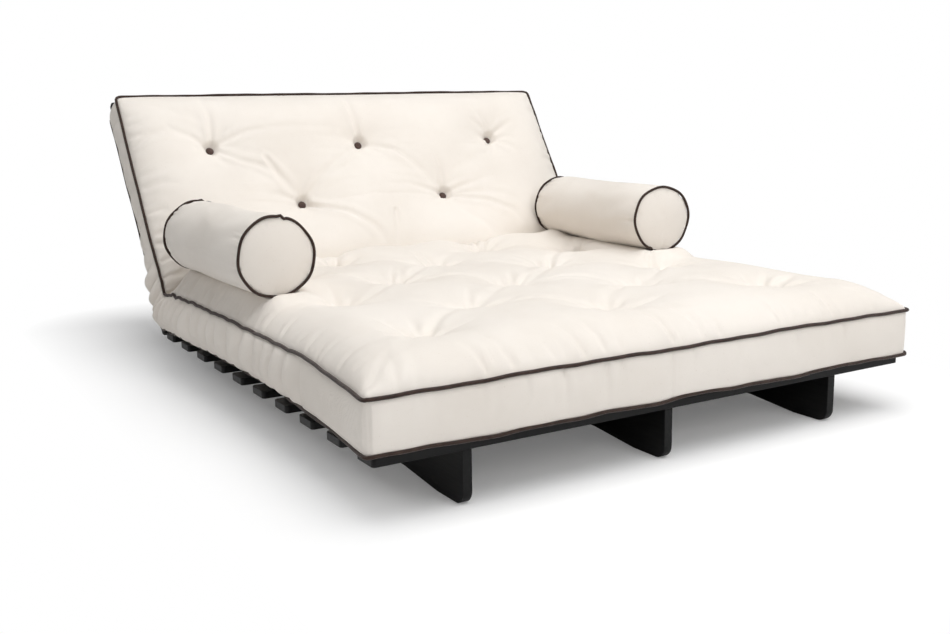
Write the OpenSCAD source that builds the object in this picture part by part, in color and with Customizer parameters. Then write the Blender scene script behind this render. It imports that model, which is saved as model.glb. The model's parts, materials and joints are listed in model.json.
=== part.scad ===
// Futon sofa bed: a low slatted frame whose back folds down flat, a buttoned futon and two loose bolsters.
// Millimetres. X is the width, Y runs from the front to the back, Z is up and the floor is Z = 0.
// The origin is on the floor, at the middle of the whole sofa's width and depth.

/* [Slats] */
// Length of every slat, which is the width of the frame
slat_l = 1380; // [1200:10:1600]
// Width of a slat
slat_w = 69; // [62:1:74]
// Thickness of a slat
slat_t = 17; // [15:1:20]
// Distance between the front edges of two slats that follow each other
slat_pitch = 136.3; // [132:0.1:140]
// Radius of a slat's four corners, seen from above
slat_r = 8; // [2:1:12]

/* [Boards] */
// Height of the boards that stand on the floor and carry the seat slats
board_h = 110; // [100:1:125]
// Thickness of every board
board_t = 21; // [18:1:25]
// Distance from one pair of boards to the next
station_pitch = 483; // [420:1:560]
// Length of a seat board, from its front edge to the end of its tail
runner_l = 1590; // [1520:10:1700]
// Distance from the front slat's edge back to the seat boards' front edge
runner_inset = 3; // [1:1:10]
// Radius of the boards' free corners
board_r = 28; // [10:1:36]
// Height of the shallow relief under a board, between its two feet
relief_h = 13; // [5:1:16]

/* [Back] */
// Angle of the back to the floor in the lounge position
back_angle = 56.7; // [52:0.1:62]
// Distance along the back from the fold to the top slat's lower edge
top_slat_s = 673; // [640:1:700]
// Height of the hinge bolts above the floor
pivot_z = 73; // [70:1:76]
// Where the back's sleeping surface meets the seat's, measured from the front slat's edge
fold_y = 1324; // [1310:1:1340]

/* [Futon] */
// Width of the futon
futon_w = 1414; // [1390:1:1440]
// How far the futon's front face stands in front of the front slat
front_overhang = 11; // [0:1:30]
// Height of the futon's sides, from its lower to its upper piping
boxing_h = 112; // [90:1:130]
// Height of the filled middle of the seat above the slats, at the front
seat_crown_h = 189; // [150:1:200]
// How much lower the filled seat is at the fold than at the front
crown_drop = 12; // [0:1:15]
// Height of the filled middle of the back above its slats
back_crown_h = 150; // [130:1:160]
// Length of the futon's back part along its upper face
back_futon_l = 684; // [660:1:710]
// Width of the sloping shoulder along the futon's sides
shoulder_w = 92; // [60:1:140]
// Length of the sloping shoulder along the futon's front and top ends
end_shoulder_l = 160; // [80:1:200]
// Radius of the piping cord
piping_r = 4; // [3:0.5:5]
// Radius of a button
button_r = 12; // [9:0.5:14]
// Thickness of a button
button_t = 7; // [5:0.5:9]

/* [Bolsters] */
// Radius of a bolster
bolster_r = 93.5; // [80:0.5:95]
// Length of a bolster
bolster_l = 567; // [500:1:575]
// Left bolster's middle, across the sofa
left_bolster_x = -610.5; // [-612:0.5:-560]
// Left bolster's middle, measured from the front slat's edge
left_bolster_y = 918; // [880:1:950]
// Turn of the left bolster about a vertical axis
left_bolster_turn = 0.5; // [0:0.1:1]
// Right bolster's middle, across the sofa
right_bolster_x = 574.5; // [550:0.5:590]
// Right bolster's middle, measured from the front slat's edge
right_bolster_y = 975; // [940:1:977]
// Turn of the right bolster about a vertical axis
right_bolster_turn = -4.7; // [-4.7:0.1:0]

/* [Hinges] */
// Thickness of a hinge arm
arm_t = 3; // [2.5:0.5:4]
// Width of a hinge arm
arm_w = 34; // [28:1:38]
// Length of a hinge arm, from the bolt to its far end
arm_l = 165; // [150:1:180]
// Radius of the round eye at a hinge arm's bolt end
eye_r = 34; // [26:1:36]
// Gap between the two arms of a hinge
arm_gap = 0.6; // [0.5:0.1:1]
// Radius of a hinge bolt
bolt_r = 5; // [4:0.5:6]
// Wall of the nylon bush in a back board
bush_wall = 2; // [1.5:0.5:3]

/* [Hidden] */
$fn = 64;

wood = "#242525";
steel = "#a9adb0";
nylon = "#e6e6e2";
cotton = "#f4eee3";
brown = "#3c2a24";

// Clearances: screws and bolts in their holes, bodies that turn past each other, faces that only rest
hole_gap = 0.05;
turn_gap = 0.3;
rest_gap = 0.3;
// Height a bolster's piping stands out from its side
ring_stand = 1.5;
eps = 1;

// Rest plane of the seat futon, and the same plane of the back when it lies flat, 1 mm higher
seat_z = board_h + slat_t;
back_lift = 1;
seat_a = seat_z - pivot_z;
back_b = seat_a + back_lift;

// The fold line seen from the side: its place from the hinge, along the seat and along the back
fold_from_pivot_y = -(back_b - seat_a * cos(back_angle)) / sin(back_angle);
fold_u = (seat_a - back_b * cos(back_angle)) / sin(back_angle);
pivot_from_front = fold_y - fold_from_pivot_y;

// The back in its own frame: u along the back from the hinge bolt, w square to it
top_slat_u = top_slat_s + fold_u;
back_slats = 6;
seat_slats = 10;
back_board_l = top_slat_u + slat_w - runner_inset;
board_top_w = back_b - slat_t;
board_foot_w = back_lift - pivot_z;

// Overall depth, from the front piping to the back boards' rear corners, and the origin from it
rear_reach = (back_board_l - board_r) * cos(back_angle) - (board_foot_w + board_r) * sin(back_angle) + board_r;
front_reach = front_overhang + piping_r;
origin_y = (pivot_from_front + rear_reach - front_reach) / 2;
front_y = -origin_y;
pivot_y = front_y + pivot_from_front;

stations = [-station_pitch, 0, station_pitch];
pair_x = arm_gap / 2 + arm_t;
runner_mid = -(pair_x + board_t / 2);
back_board_mid = pair_x + board_t / 2;

// Feet: a board stands on 100 mm at each end, and the relief between them begins with a slope
foot_l = 100;
relief_slope = 140;
runner_foot_back = 290;

// Screws: countersunk, shank radius, head radius and height, lengths in the wood
screw_r = 2;
screw_head_r = 4.3;
screw_head_h = 2.4;
slat_screw_l = 42;
arm_screw_l = 16;
arm_screw_at = [100, 145];
washer_r = 10;
washer_t = 2;
head_r = 9.8;
head_t = 6.4;
nut_t = 8;
bolt_end = 4;

// Futon: half width, and where its crown begins
half_w = futon_w / 2;
fold_clear_angle = 1;
fold_clear = 1;
crown_slope = atan(crown_drop / (fold_y - end_shoulder_l));

// Buttons: rows 196 mm apart, three and two by turns, the first 215 mm from the front slat's edge.
// The back's two rows are measured along the back from the fold.
button_x = [[-471, 0, 471], [-236, 236]];
seat_button_first = 215;
button_pitch = 196;
seat_button_rows = 6;
back_button_s = [298, 493];

// ---- shared shapes ----

module rounded_rect(l, w, r) {
    square([l - 2 * r, w], center = true);
    square([l, w - 2 * r], center = true);
    for (x = [-1, 1], y = [-1, 1])
        translate([x * (l / 2 - r), y * (w / 2 - r)]) circle(r);
}

// What is cut off a board's corner at x, y to leave a round; dx and dy point into the board
module corner_cut(x, y, dx, dy, r) {
    difference() {
        translate([x, y]) square(2 * r, center = true);
        translate([x + dx * r, y + dy * r]) circle(r);
    }
}

// The shallow relief between the feet, from a to b along a board's lower edge at height y
module relief(a, b, y) {
    polygon([
        [a, y - eps], [a, y], [a + relief_slope, y + relief_h],
        [b - relief_slope, y + relief_h], [b, y], [b, y - eps]
    ]);
}

// Turns a flat outline, drawn in y and z, into a board of thickness t from x = 0
module side_board(t) {
    rotate([90, 0, 90]) linear_extrude(height = t) children();
}

module along_x(l, r) {
    rotate([0, 90, 0]) cylinder(h = l, r = r);
}

module countersunk_screw(l) {
    translate([0, 0, -l]) cylinder(h = l, r = screw_r);
    translate([0, 0, -screw_head_h]) cylinder(h = screw_head_h, r1 = screw_r, r2 = screw_head_r);
}

// The hole for that screw, a little larger all round
module screw_hole(l) {
    translate([0, 0, -l - eps]) cylinder(h = l + 2 * eps, r = screw_r + hole_gap);
    translate([0, 0, -screw_head_h - hole_gap])
        cylinder(h = screw_head_h + hole_gap, r1 = screw_r + hole_gap, r2 = screw_head_r + hole_gap);
    translate([0, 0, -hole_gap]) cylinder(h = eps, r = screw_head_r + 2 * hole_gap);
}

// Places its children in the back's own frame, with y along the back and z square to it
module on_back() {
    translate([0, pivot_y, pivot_z]) rotate([back_angle, 0, 0]) children();
}

function seat_slat_y(i) = front_y + i * slat_pitch + slat_w / 2;
function back_slat_u(i) = top_slat_u - (back_slats - 1 - i) * slat_pitch + slat_w / 2;

// ---- slats and boards ----

// One slat, its underside at z = 0, screwed down at screw_x from each station
module slat(screw_x) {
    difference() {
        linear_extrude(height = slat_t) rounded_rect(slat_l, slat_w, slat_r);
        for (s = stations) translate([s + screw_x, 0, slat_t]) screw_hole(slat_screw_l);
    }
}

module seat_slat(i) {
    color(wood) translate([0, seat_slat_y(i), board_h]) slat(runner_mid);
}

module back_slat(i) {
    color(wood) on_back() translate([0, back_slat_u(i), board_top_w]) slat(back_board_mid);
}

module runner(s) {
    color(wood) difference() {
        translate([s - pair_x - board_t, front_y + runner_inset, 0]) side_board(board_t) difference() {
            square([runner_l, board_h]);
            relief(foot_l, runner_l - runner_foot_back, 0);
            corner_cut(0, 0, 1, 1, board_r);
            corner_cut(runner_l, 0, -1, 1, board_r);
            corner_cut(runner_l, board_h, -1, -1, board_r);
        }
        translate([s - pair_x - board_t - eps, pivot_y, pivot_z])
            along_x(board_t + 2 * eps, bolt_r + hole_gap);
        for (i = [0 : seat_slats - 1])
            translate([s + runner_mid, seat_slat_y(i), seat_z]) screw_hole(slat_screw_l);
        for (a = arm_screw_at)
            translate([s - arm_gap / 2, pivot_y - a, pivot_z]) rotate([0, 90, 0]) screw_hole(arm_screw_l);
    }
}

module back_board(s) {
    color(wood) on_back() difference() {
        translate([s + pair_x, 0, 0]) side_board(board_t) difference() {
            union() {
                translate([0, board_foot_w]) square([back_board_l, board_top_w - board_foot_w]);
                circle(board_top_w);
                intersection() {
                    circle(-board_foot_w);
                    translate([-board_top_w, board_foot_w]) square([board_top_w, -board_foot_w]);
                }
            }
            relief(foot_l, back_board_l - foot_l, board_foot_w);
            corner_cut(back_board_l, board_foot_w, -1, 1, board_r);
        }
        translate([s + pair_x - eps, 0, 0]) along_x(board_t + 2 * eps, bolt_r + bush_wall + 2 * hole_gap);
        for (i = [0 : back_slats - 1])
            translate([s + back_board_mid, back_slat_u(i), back_b]) screw_hole(slat_screw_l);
        for (a = arm_screw_at)
            translate([s + arm_gap / 2, a, 0]) rotate([0, -90, 0]) screw_hole(arm_screw_l);
    }
}

module slat_screws(positions, screw_x, z) {
    for (s = stations, y = positions) translate([s + screw_x, y, z]) countersunk_screw(slat_screw_l);
}

module seat_slat_screws() {
    color(steel) slat_screws([for (i = [0 : seat_slats - 1]) seat_slat_y(i)], runner_mid, seat_z);
}

module back_slat_screws() {
    color(steel) on_back()
        slat_screws([for (i = [0 : back_slats - 1]) back_slat_u(i)], back_board_mid, back_b);
}

// ---- hinges ----

// A hinge arm as a flat outline: the eye round the bolt, and the arm that runs along +y
module arm_outline(hole_r) {
    difference() {
        union() {
            circle(eye_r);
            translate([0, -arm_w / 2]) square([arm_l - arm_w / 2, arm_w]);
            translate([arm_l - arm_w / 2, 0]) circle(arm_w / 2);
        }
        circle(hole_r);
    }
}

module seat_arm(s) {
    color(steel) translate([s, pivot_y, pivot_z]) difference() {
        translate([-pair_x, 0, 0]) side_board(arm_t) mirror([1, 0]) arm_outline(bolt_r + hole_gap);
        for (a = arm_screw_at)
            translate([-arm_gap / 2, -a, 0]) rotate([0, 90, 0]) screw_hole(arm_screw_l);
    }
}

module back_arm(s) {
    color(steel) on_back() translate([s, 0, 0]) difference() {
        translate([arm_gap / 2, 0, 0]) side_board(arm_t) arm_outline(bolt_r + turn_gap);
        for (a = arm_screw_at)
            translate([arm_gap / 2, a, 0]) rotate([0, -90, 0]) screw_hole(arm_screw_l);
    }
}

module seat_arm_screws() {
    color(steel) for (s = stations, a = arm_screw_at)
        translate([s - arm_gap / 2, pivot_y - a, pivot_z]) rotate([0, 90, 0]) countersunk_screw(arm_screw_l);
}

module back_arm_screws() {
    color(steel) on_back() for (s = stations, a = arm_screw_at)
        translate([s + arm_gap / 2, a, 0]) rotate([0, -90, 0]) countersunk_screw(arm_screw_l);
}

// Each bolt: a hexagon head outside the seat board, a shank through both boards
module hinge_bolts() {
    color(steel) for (s = stations) translate([s, pivot_y, pivot_z]) {
        translate([-pair_x - board_t - washer_t - head_t, 0, 0]) rotate([0, 90, 0])
            cylinder(h = head_t, r = head_r, $fn = 6);
        translate([-pair_x - board_t - washer_t - eps, 0, 0])
            along_x(2 * (pair_x + board_t) + 2 * washer_t + turn_gap + nut_t + bolt_end + eps, bolt_r);
    }
}

module hinge_washers() {
    color(steel) for (s = stations, x = [-pair_x - board_t - washer_t, pair_x + board_t + turn_gap])
        translate([s + x, pivot_y, pivot_z]) difference() {
            along_x(washer_t, washer_r);
            translate([-eps, 0, 0]) along_x(washer_t + 2 * eps, bolt_r + hole_gap);
        }
}

module hinge_nuts() {
    color(steel) for (s = stations)
        translate([s + pair_x + board_t + turn_gap + washer_t, pivot_y, pivot_z]) difference() {
            rotate([0, 90, 0]) cylinder(h = nut_t, r = head_r, $fn = 6);
            translate([-eps, 0, 0]) along_x(nut_t + 2 * eps, bolt_r + hole_gap);
        }
}

// Nylon bushes pressed into the back boards, turning on the bolts
module hinge_bushes() {
    color(nylon) for (s = stations) translate([s + pair_x, pivot_y, pivot_z]) difference() {
        along_x(board_t, bolt_r + bush_wall + hole_gap);
        translate([-eps, 0, 0]) along_x(board_t + 2 * eps, bolt_r + hole_gap);
    }
}

// ---- futon ----

// A futon part's cross profile across the sofa: straight sides, sloping shoulders, level top
module futon_cross(y0, y1, base, edge, top) {
    translate([0, y1, 0]) rotate([90, 0, 0]) linear_extrude(height = y1 - y0) polygon([
        [-half_w, base], [half_w, base], [half_w, edge],
        [half_w - shoulder_w, top], [shoulder_w - half_w, top], [-half_w, edge]
    ]);
}

// Its outline seen from the side, full width
module futon_side(points) {
    translate([-half_w - eps, 0, 0]) side_board(futon_w + 2 * eps) polygon(points);
}

// Height of the filled seat above the floor at y from the front slat's edge
function seat_top(y) = seat_z + seat_crown_h - (y - end_shoulder_l) * tan(crown_slope);

module seat_futon() {
    lean = 90 - back_angle / 2 - fold_clear_angle;
    foot_y = fold_y - fold_clear;
    // How high the sloping rear face reaches before it meets the filled top
    rise = (seat_top(foot_y) - seat_z) / (1 - tan(crown_slope) / tan(lean));
    color(cotton) translate([0, front_y, 0]) intersection() {
        futon_cross(-front_overhang, fold_y, seat_z, seat_z + boxing_h, seat_z + seat_crown_h);
        futon_side([
            [-front_overhang, seat_z], [foot_y, seat_z], [foot_y - rise / tan(lean), seat_z + rise],
            [end_shoulder_l, seat_top(end_shoulder_l)], [-front_overhang, seat_z + boxing_h]
        ]);
    }
}

module back_futon() {
    lean = 90 - back_angle / 2 - fold_clear_angle;
    foot_u = fold_u + fold_clear;
    end_u = fold_u + back_futon_l;
    color(cotton) on_back() intersection() {
        futon_cross(fold_u, end_u, back_b, back_b + boxing_h, back_b + back_crown_h);
        futon_side([
            [foot_u, back_b], [end_u, back_b], [end_u, back_b + boxing_h],
            [end_u - end_shoulder_l, back_b + back_crown_h],
            [foot_u + back_crown_h / tan(lean), back_b + back_crown_h]
        ]);
    }
}

// Piping round three edges of a futon part: across its end at y1, and down both sides to y0
module piping(y0, y1, z) {
    low = min(y0, y1);
    translate([-half_w, y1, z]) along_x(futon_w, piping_r);
    for (x = [-half_w, half_w]) {
        translate([x, low, z]) rotate([-90, 0, 0]) cylinder(h = abs(y1 - y0), r = piping_r);
        translate([x, y1, z]) sphere(piping_r);
    }
}

// Where a piping at height h above the rest plane stops short of the fold
function fold_end(h) = h / tan(90 - back_angle / 2) + 3 * piping_r;

module seat_upper_piping() {
    color(brown) translate([0, front_y, 0])
        piping(fold_y - fold_end(boxing_h), -front_overhang, seat_z + boxing_h);
}

module seat_lower_piping() {
    color(brown) translate([0, front_y, 0])
        piping(fold_y - fold_end(piping_r), -front_overhang, seat_z + piping_r + rest_gap);
}

module back_upper_piping() {
    color(brown) on_back() piping(fold_u + fold_end(boxing_h), fold_u + back_futon_l, back_b + boxing_h);
}

module back_lower_piping() {
    color(brown) on_back()
        piping(fold_u + fold_end(piping_r), fold_u + back_futon_l, back_b + piping_r + rest_gap);
}

module button() {
    cylinder(h = button_t, r = button_r);
}

// The rear row lies close to the fold, so it stands a little further forward than its pitch
function seat_button_y(i) = min(seat_button_first + i * button_pitch, fold_y - back_crown_h);

module seat_buttons() {
    color(brown) for (i = [0 : seat_button_rows - 1], x = button_x[i % 2])
        translate([x, front_y + seat_button_y(i), seat_top(seat_button_y(i))])
            rotate([-crown_slope, 0, 0]) button();
}

module back_buttons() {
    color(brown) on_back() for (i = [0 : 1], x = button_x[1 - i])
        translate([x, fold_u + back_button_s[i], back_b + back_crown_h]) button();
}

// ---- bolsters ----

// Places its children, which lie along y round the middle, as a bolster lies on the seat
module on_seat(x, y, turn) {
    rise = (bolster_r + ring_stand) / cos(crown_slope) + rest_gap;
    translate([x, front_y + y, seat_top(y) + rise]) rotate([0, 0, turn]) rotate([-crown_slope, 0, 0])
        children();
}

module bolster() {
    rotate([-90, 0, 0]) cylinder(h = bolster_l, r = bolster_r, center = true);
}

module bolster_rings() {
    for (y = [-1, 1]) translate([0, y * (bolster_l / 2 - piping_r), 0]) rotate([90, 0, 0])
        rotate_extrude() translate([bolster_r + ring_stand - piping_r, 0]) circle(piping_r, $fn = 24);
}

module bolster_left() {
    color(cotton) on_seat(left_bolster_x, left_bolster_y, left_bolster_turn) bolster();
}

module bolster_right() {
    color(cotton) on_seat(right_bolster_x, right_bolster_y, right_bolster_turn) bolster();
}

module bolster_left_piping() {
    color(brown) on_seat(left_bolster_x, left_bolster_y, left_bolster_turn) bolster_rings();
}

module bolster_right_piping() {
    color(brown) on_seat(right_bolster_x, right_bolster_y, right_bolster_turn) bolster_rings();
}

seat_slat(0);  // seat_slat_01
seat_slat(1);  // seat_slat_02
seat_slat(2);  // seat_slat_03
seat_slat(3);  // seat_slat_04
seat_slat(4);  // seat_slat_05
seat_slat(5);  // seat_slat_06
seat_slat(6);  // seat_slat_07
seat_slat(7);  // seat_slat_08
seat_slat(8);  // seat_slat_09
seat_slat(9);  // seat_slat_10
back_slat(0);  // back_slat_01
back_slat(1);  // back_slat_02
back_slat(2);  // back_slat_03
back_slat(3);  // back_slat_04
back_slat(4);  // back_slat_05
back_slat(5);  // back_slat_06
runner(stations[0]);  // runner_left
runner(stations[1]);  // runner_middle
runner(stations[2]);  // runner_right
back_board(stations[0]);  // back_board_left
back_board(stations[1]);  // back_board_middle
back_board(stations[2]);  // back_board_right
seat_arm(stations[0]);  // seat_arm_left
seat_arm(stations[1]);  // seat_arm_middle
seat_arm(stations[2]);  // seat_arm_right
back_arm(stations[0]);  // back_arm_left
back_arm(stations[1]);  // back_arm_middle
back_arm(stations[2]);  // back_arm_right
hinge_bolts();
hinge_washers();
hinge_nuts();
hinge_bushes();
seat_slat_screws();
back_slat_screws();
seat_arm_screws();
back_arm_screws();
seat_futon();
back_futon();
seat_upper_piping();
seat_lower_piping();
back_upper_piping();
back_lower_piping();
seat_buttons();
back_buttons();
bolster_left();
bolster_right();
bolster_left_piping();
bolster_right_piping();
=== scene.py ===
"""A futon sofa bed: a black slatted frame, one buttoned and piped cotton futon and two bolsters.

Everything is in metres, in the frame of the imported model: X across, Y from front to back, Z up.
"""
import json
import math

import bpy
import numpy as np
from mathutils import Matrix, Vector


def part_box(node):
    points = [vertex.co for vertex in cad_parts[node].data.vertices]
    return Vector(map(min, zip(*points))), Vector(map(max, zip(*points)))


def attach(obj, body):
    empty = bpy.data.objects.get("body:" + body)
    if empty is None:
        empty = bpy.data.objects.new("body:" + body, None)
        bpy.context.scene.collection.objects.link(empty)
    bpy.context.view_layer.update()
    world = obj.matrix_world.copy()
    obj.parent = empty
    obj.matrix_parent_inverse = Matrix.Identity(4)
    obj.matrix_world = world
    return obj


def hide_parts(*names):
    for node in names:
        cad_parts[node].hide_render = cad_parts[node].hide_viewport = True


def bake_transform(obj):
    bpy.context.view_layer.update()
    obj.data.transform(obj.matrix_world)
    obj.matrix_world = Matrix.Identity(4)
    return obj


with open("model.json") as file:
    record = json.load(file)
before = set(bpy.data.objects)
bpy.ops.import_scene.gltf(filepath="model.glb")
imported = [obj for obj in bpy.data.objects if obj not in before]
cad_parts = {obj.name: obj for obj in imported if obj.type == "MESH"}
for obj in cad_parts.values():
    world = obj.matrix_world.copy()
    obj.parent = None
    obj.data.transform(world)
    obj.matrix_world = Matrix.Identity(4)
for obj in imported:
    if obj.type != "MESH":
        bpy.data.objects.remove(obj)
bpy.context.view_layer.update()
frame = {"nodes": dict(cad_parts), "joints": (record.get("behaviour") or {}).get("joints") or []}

rng = np.random.default_rng(11)

# ---- where things are, from the frame ----

BOXING = 0.112            # height of the futon's sides between its two piping seams
seat_lo, seat_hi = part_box("seat_futon")
back_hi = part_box("back_futon")[1]
fold_joint = next(j for j in frame["joints"] if j["name"] == "back_fold")
LEAN = math.radians(fold_joint["range_deg"][1])   # the back's slope from the floor
HALF_W = seat_hi.x
SEAT_Z = seat_lo.z
FOLD_Y = seat_hi.y + 0.001
FRONT_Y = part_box("seat_slat_01")[0].y
SEAT_L = FOLD_Y - seat_lo.y
BACK_L = (back_hi.z - SEAT_Z - BOXING * math.cos(LEAN)) / math.sin(LEAN)
FUTON_L = SEAT_L + BACK_L


# ---- small helpers ----

def smooth(t):
    """Eases from 0 to 1 as t goes from 0 to 1."""
    t = np.clip(t, 0.0, 1.0)
    return t * t * (3 - 2 * t)


def mesh_object(name, verts, faces, materials=()):
    """A smooth-shaded mesh object in the scene."""
    mesh = bpy.data.meshes.new(name)
    mesh.from_pydata([tuple(v) for v in verts], [], [tuple(f) for f in faces])
    mesh.update()
    obj = bpy.data.objects.new(name, mesh)
    bpy.context.scene.collection.objects.link(obj)
    for m in materials:
        mesh.materials.append(m)
    mesh.polygons.foreach_set("use_smooth", [True] * len(mesh.polygons))
    return obj


def coords(obj):
    """A mesh object's vertices as an array."""
    co = np.empty(len(obj.data.vertices) * 3, np.float32)
    obj.data.vertices.foreach_get("co", co)
    return co.reshape(-1, 3).astype(float)


def unit(v):
    return v / np.linalg.norm(v, axis=-1, keepdims=True)


def round_off(obj):
    """Gives an object one level of subdivision."""
    mod = obj.modifiers.new("round", "SUBSURF")
    mod.levels = mod.render_levels = 1


# ---- node materials ----

class Nodes:
    """A material's node tree, with a short way to add and link nodes."""

    def __init__(self, name):
        self.mat = bpy.data.materials.new(name)
        self.mat.use_nodes = True
        self.tree = self.mat.node_tree
        self.shader = self.tree.nodes["Principled BSDF"]
        self.place = self.add("ShaderNodeTexCoord").outputs["Object"]

    def add(self, kind, inputs=(), **props):
        node = self.tree.nodes.new(kind)
        for key, value in props.items():
            setattr(node, key, value)
        for key, value in dict(inputs).items():
            if isinstance(value, bpy.types.NodeSocket):
                self.tree.links.new(value, node.inputs[key])
            else:
                node.inputs[key].default_value = value
        return node

    def noise(self, scale, detail=3.0, rough=0.55, stretch=(1, 1, 1)):
        at = self.add("ShaderNodeMapping", {"Vector": self.place, "Scale": stretch}).outputs[0]
        ins = {"Vector": at, "Scale": scale, "Detail": detail, "Roughness": rough}
        return self.add("ShaderNodeTexNoise", ins).outputs["Fac"]

    def wave(self, scale, direction, distortion=0.0):
        ins = {"Vector": self.place, "Scale": scale, "Distortion": distortion,
               "Detail": 1.0, "Detail Scale": 2.0}
        node = self.add("ShaderNodeTexWave", ins, bands_direction=direction)
        return node.outputs["Fac"]

    def ramp(self, fac, low, high, start=0.0, end=1.0):
        node = self.add("ShaderNodeValToRGB", {"Fac": fac})
        first, last = node.color_ramp.elements
        first.position, last.position = start, end
        first.color, last.color = (*low, 1), (*high, 1)
        return node.outputs["Color"]

    def mix(self, fac, a, b, kind="MIX"):
        node = self.add("ShaderNodeMix", data_type="RGBA", blend_type=kind)
        for socket, value in ((node.inputs[0], fac), (node.inputs[6], a), (node.inputs[7], b)):
            if isinstance(value, bpy.types.NodeSocket):
                self.tree.links.new(value, socket)
            else:
                socket.default_value = value if isinstance(value, float) else (*value, 1)
        return node.outputs[2]

    def math(self, op, a, b):
        return self.add("ShaderNodeMath", {0: a, 1: b}, operation=op).outputs[0]

    def bump(self, height, distance, strength=1.0, under=None):
        ins = {"Height": height, "Distance": distance, "Strength": strength}
        if under is not None:
            ins["Normal"] = under
        return self.add("ShaderNodeBump", ins).outputs[0]

    def use(self, **inputs):
        """Sets or links the shader's own sockets; a name's underscores stand for spaces."""
        for key, value in inputs.items():
            socket = self.shader.inputs[key.replace("_", " ")]
            if isinstance(value, bpy.types.NodeSocket):
                self.tree.links.new(value, socket)
            else:
                socket.default_value = value
        return self.mat


def cotton(name, base, shade, fleck):
    """Natural cotton drill: a fine twill, slubs along the threads, seed flecks and faint soiling."""
    n = Nodes(name)
    weft = n.wave(640, "DIAGONAL", 0.6)
    warp = n.wave(520, "X", 0.8)
    twill = n.math("MULTIPLY", weft, warp)
    slub = n.noise(55, 3, 0.6, (1, 9, 9))
    cloud = n.noise(3.2, 4, 0.6)
    colour = n.ramp(cloud, shade, base, 0.30, 0.62)
    colour = n.mix(n.math("MULTIPLY", slub, 0.16), colour, shade)
    specks = n.ramp(n.noise(420, 1, 0.4), (0, 0, 0), (1, 1, 1), 0.735, 0.78)
    colour = n.mix(n.math("MULTIPLY", specks, 0.35), colour, fleck)
    soft = n.bump(n.noise(34, 4, 0.6), 0.0022, 0.30)
    threads = n.bump(n.math("ADD", twill, n.math("MULTIPLY", slub, 0.8)), 0.0004, 0.6, soft)
    rough = n.math("ADD", n.math("MULTIPLY", slub, 0.10), 0.84)
    mat = n.use(Base_Color=colour, Roughness=rough, Normal=threads)
    n.use(Sheen_Weight=0.22, Sheen_Roughness=0.45, Specular_IOR_Level=0.22)
    n.use(Sheen_Tint=(1.0, 0.97, 0.92, 1))
    return mat


def brown_cloth(name, dark, light):
    """Dark brown cotton over cord or button: a fine weave, worn a little lighter in places."""
    n = Nodes(name)
    threads = n.math("MULTIPLY", n.wave(700, "DIAGONAL", 0.5), n.wave(620, "Y", 0.5))
    wear = n.noise(60, 4, 0.6)
    colour = n.ramp(wear, dark, light, 0.35, 0.75)
    colour = n.mix(n.math("MULTIPLY", threads, 0.25), colour, light)
    normal = n.bump(threads, 0.0004, 0.7, n.bump(n.noise(240, 3, 0.5), 0.0008, 0.4))
    mat = n.use(Base_Color=colour, Roughness=0.86, Normal=normal)
    return n.use(Sheen_Weight=0.3, Sheen_Roughness=0.4, Specular_IOR_Level=0.2)


def black_wood(name, along):
    """Softwood under satin black lacquer: the grain shows as fine raised lines, with a few knots."""
    n = Nodes(name)
    stretch = [26.0, 26.0, 26.0]
    stretch["XYZ".index(along)] = 1.1
    grain = n.noise(6.0, 6, 0.62, stretch)
    fine = n.noise(26.0, 4, 0.6, stretch)
    knot_at = n.add("ShaderNodeTexVoronoi", {"Vector": n.place, "Scale": 2.6}).outputs["Distance"]
    knots = n.ramp(knot_at, (1, 1, 1), (0, 0, 0), 0.02, 0.075)
    colour = n.ramp(grain, (0.0035, 0.0035, 0.0036), (0.0080, 0.0080, 0.0082), 0.3, 0.75)
    colour = n.mix(n.math("MULTIPLY", knots, 0.5), colour, (0.002, 0.002, 0.002))
    rough = n.math("ADD", n.math("MULTIPLY", fine, 0.20), 0.34)
    height = n.math("ADD", n.math("MULTIPLY", grain, 0.9), n.math("MULTIPLY", fine, 0.35))
    height = n.math("SUBTRACT", height, n.math("MULTIPLY", knots, 0.5))
    normal = n.bump(height, 0.0010, 0.55, n.bump(n.noise(300, 2, 0.5), 0.0002, 0.2))
    mat = n.use(Base_Color=colour, Roughness=rough, Normal=normal)
    return n.use(Coat_Weight=0.05, Coat_Roughness=0.25, Specular_IOR_Level=0.16)


def zinc(name):
    """Zinc-plated steel: satin, with faint mottling and fine scratches."""
    n = Nodes(name)
    mottle = n.noise(90, 4, 0.6)
    scratch = n.noise(220, 3, 0.5, (1, 12, 1))
    colour = n.ramp(mottle, (0.42, 0.43, 0.44), (0.66, 0.67, 0.68), 0.35, 0.7)
    rough = n.math("ADD", n.math("MULTIPLY", scratch, 0.25), 0.24)
    normal = n.bump(scratch, 0.0002, 0.35)
    return n.use(Base_Color=colour, Roughness=rough, Metallic=1.0, Normal=normal)


def nylon(name):
    """Off-white moulded nylon."""
    n = Nodes(name)
    cloud = n.noise(120, 3, 0.5)
    colour = n.ramp(cloud, (0.66, 0.65, 0.61), (0.78, 0.77, 0.73), 0.3, 0.7)
    return n.use(Base_Color=colour, Roughness=0.5, Normal=n.bump(cloud, 0.0002, 0.3))


COTTON = cotton("futon_cotton", (0.875, 0.822, 0.760), (0.82, 0.762, 0.695), (0.50, 0.40, 0.29))
PIPING = brown_cloth("brown_piping", (0.030, 0.017, 0.013), (0.062, 0.038, 0.030))
BUTTON = brown_cloth("brown_button", (0.060, 0.036, 0.030), (0.115, 0.074, 0.062))
WOOD_X = black_wood("black_wood_across", "X")
WOOD_Y = black_wood("black_wood_along", "Y")
ZINC = zinc("zinc_plated_steel")
NYLON = nylon("white_nylon")


# ---- the frame: CAD nodes keep their shape, with softened edges and real materials ----

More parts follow.
